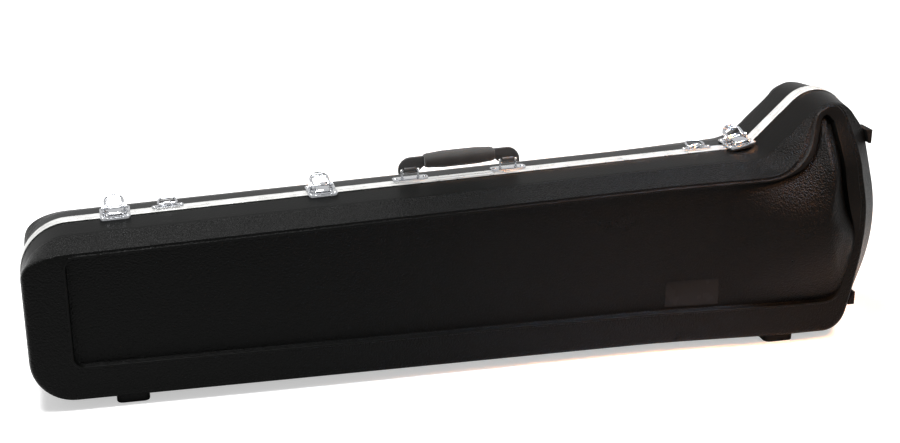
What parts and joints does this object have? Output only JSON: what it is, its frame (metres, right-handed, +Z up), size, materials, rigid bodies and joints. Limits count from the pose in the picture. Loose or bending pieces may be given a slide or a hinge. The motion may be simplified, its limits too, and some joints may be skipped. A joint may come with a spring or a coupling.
{
  "type": "trombone case",
  "caption": "Moulded hard case shaped for a trombone, with aluminium edge, draw latches, carry handle, strap rings, feet and fitted lining.",
  "frame": {"origin": "centre of the box round the whole case, on the floor under its feet", "axes": "+X towards the bell end, +Y towards the rear half, +Z up towards the handle"},
  "size_m": [1.016, 0.2238, 0.2968],
  "materials": {
    "shell": "grained moulded plastic, satin black",
    "valance": "brushed aluminium",
    "lining": "black plush over foam",
    "hinge": "plated steel",
    "latch": "bright chrome",
    "ring": "bright chrome",
    "bracket": "bright chrome",
    "strap": "black moulded strap",
    "grip": "soft dark grey sleeve",
    "foot": "black rubber",
    "button": "black plastic"
  },
  "bodies": {
    "rear_half": {"rear_shell": "shell", "rear_valance": "valance", "rear_lining": "lining", "hinge_1_rear_leaf": "hinge", "hinge_1_pin": "hinge", "hinge_2_rear_leaf": "hinge", "hinge_2_pin": "hinge", "hinge_3_rear_leaf": "hinge", "hinge_3_pin": "hinge", "latch_1_base": "latch", "latch_2_base": "latch", "latch_3_base": "latch", "strap_ring_plate_1": "ring", "strap_ring_plate_2": "ring", "handle_bracket_1": "bracket", "foot_rear_1": "foot", "end_foot_rear_1": "foot", "handle_bracket_2": "bracket", "foot_rear_2": "foot", "end_foot_rear_2": "foot"},
    "front_half": {"front_shell": "shell", "front_valance": "valance", "front_lining": "lining", "slide_button_post_1": "button", "slide_button_post_2": "button", "hinge_1_front_leaf": "hinge", "hinge_2_front_leaf": "hinge", "hinge_3_front_leaf": "hinge", "latch_1_keeper": "latch", "latch_2_keeper": "latch", "latch_3_keeper": "latch", "foot_front_1": "foot", "end_foot_front_1": "foot", "foot_front_2": "foot", "end_foot_front_2": "foot"},
    "handle": {"handle_strap": "strap", "handle_grip": "grip"},
    "latch_1_lever": {"latch_1_lever": "latch"},
    "latch_1_hook": {"latch_1_hook": "latch"},
    "latch_2_lever": {"latch_2_lever": "latch"},
    "latch_2_hook": {"latch_2_hook": "latch"},
    "latch_3_lever": {"latch_3_lever": "latch"},
    "latch_3_hook": {"latch_3_hook": "latch"},
    "strap_ring_1": {"strap_ring_1": "ring"},
    "strap_ring_2": {"strap_ring_2": "ring"},
    "slide_button_1": {"slide_button_1": "button"},
    "slide_button_2": {"slide_button_2": "button"}
  },
  "joints": [
    {"name": "lid_hinge", "type": "hinge", "parent": "rear_half", "child": "front_half", "pos_m": [-0.00654, 0, 0.0043], "axis": [1, 0, 0], "range_deg": [0, 110]},
    {"name": "latch_1_lever_pivot", "type": "hinge", "parent": "rear_half", "child": "latch_1_lever", "pos_m": [-0.39874, 0.0055, 0.20779], "axis": [0.9993, 0, 0.0379], "range_deg": [0, 100]},
    {"name": "latch_1_hook_pivot", "type": "hinge", "parent": "latch_1_lever", "child": "latch_1_hook", "pos_m": [-0.39874, 0.0125, 0.20779], "axis": [0.9993, 0, 0.0379], "range_deg": [-100, 0]},
    {"name": "latch_2_lever_pivot", "type": "hinge", "parent": "rear_half", "child": "latch_2_lever", "pos_m": [-0.16499, 0.0055, 0.21664], "axis": [0.9993, 0, 0.0379], "range_deg": [0, 100]},
    {"name": "latch_2_hook_pivot", "type": "hinge", "parent": "latch_2_lever", "child": "latch_2_hook", "pos_m": [-0.16499, 0.0125, 0.21664], "axis": [0.9993, 0, 0.0379], "range_deg": [-100, 0]},
    {"name": "latch_3_lever_pivot", "type": "hinge", "parent": "rear_half", "child": "latch_3_lever", "pos_m": [0.34254, 0.0055, 0.23982], "axis": [0.9843, 0, 0.1766], "range_deg": [0, 100]},
    {"name": "latch_3_hook_pivot", "type": "hinge", "parent": "latch_3_lever", "child": "latch_3_hook", "pos_m": [0.34254, 0.0125, 0.23982], "axis": [0.9843, 0, 0.1766], "range_deg": [-100, 0]},
    {"name": "handle_pivot", "type": "hinge", "parent": "rear_half", "child": "handle", "pos_m": [-0.00021, 0.009, 0.22869], "axis": [0.9993, 0, 0.0379], "range_deg": [-75, 75]},
    {"name": "strap_ring_1_pivot", "type": "hinge", "parent": "rear_half", "child": "strap_ring_1", "pos_m": [-0.33967, 0.0055, 0.20822], "axis": [0.9993, 0, 0.0379], "range_deg": [0, 150]},
    {"name": "strap_ring_2_pivot", "type": "hinge", "parent": "rear_half", "child": "strap_ring_2", "pos_m": [0.29333, 0.0055, 0.2322], "axis": [0.9993, 0, 0.0379], "range_deg": [0, 150]},
    {"name": "slide_button_1_turn", "type": "hinge", "parent": "front_half", "child": "slide_button_1", "pos_m": [-0.25654, -0.005, 0.1175], "axis": [0, 1, 0], "range_deg": [0, 90]},
    {"name": "slide_button_2_turn", "type": "hinge", "parent": "front_half", "child": "slide_button_2", "pos_m": [0.11346, -0.005, 0.1175], "axis": [0, 1, 0], "range_deg": [0, 90]}
  ],
  "couplings": [
    {"joint": "latch_1_hook_pivot", "follows": "latch_1_lever_pivot", "ratio": -1},
    {"joint": "latch_2_hook_pivot", "follows": "latch_2_lever_pivot", "ratio": -1},
    {"joint": "latch_3_hook_pivot", "follows": "latch_3_lever_pivot", "ratio": -1}
  ]
}
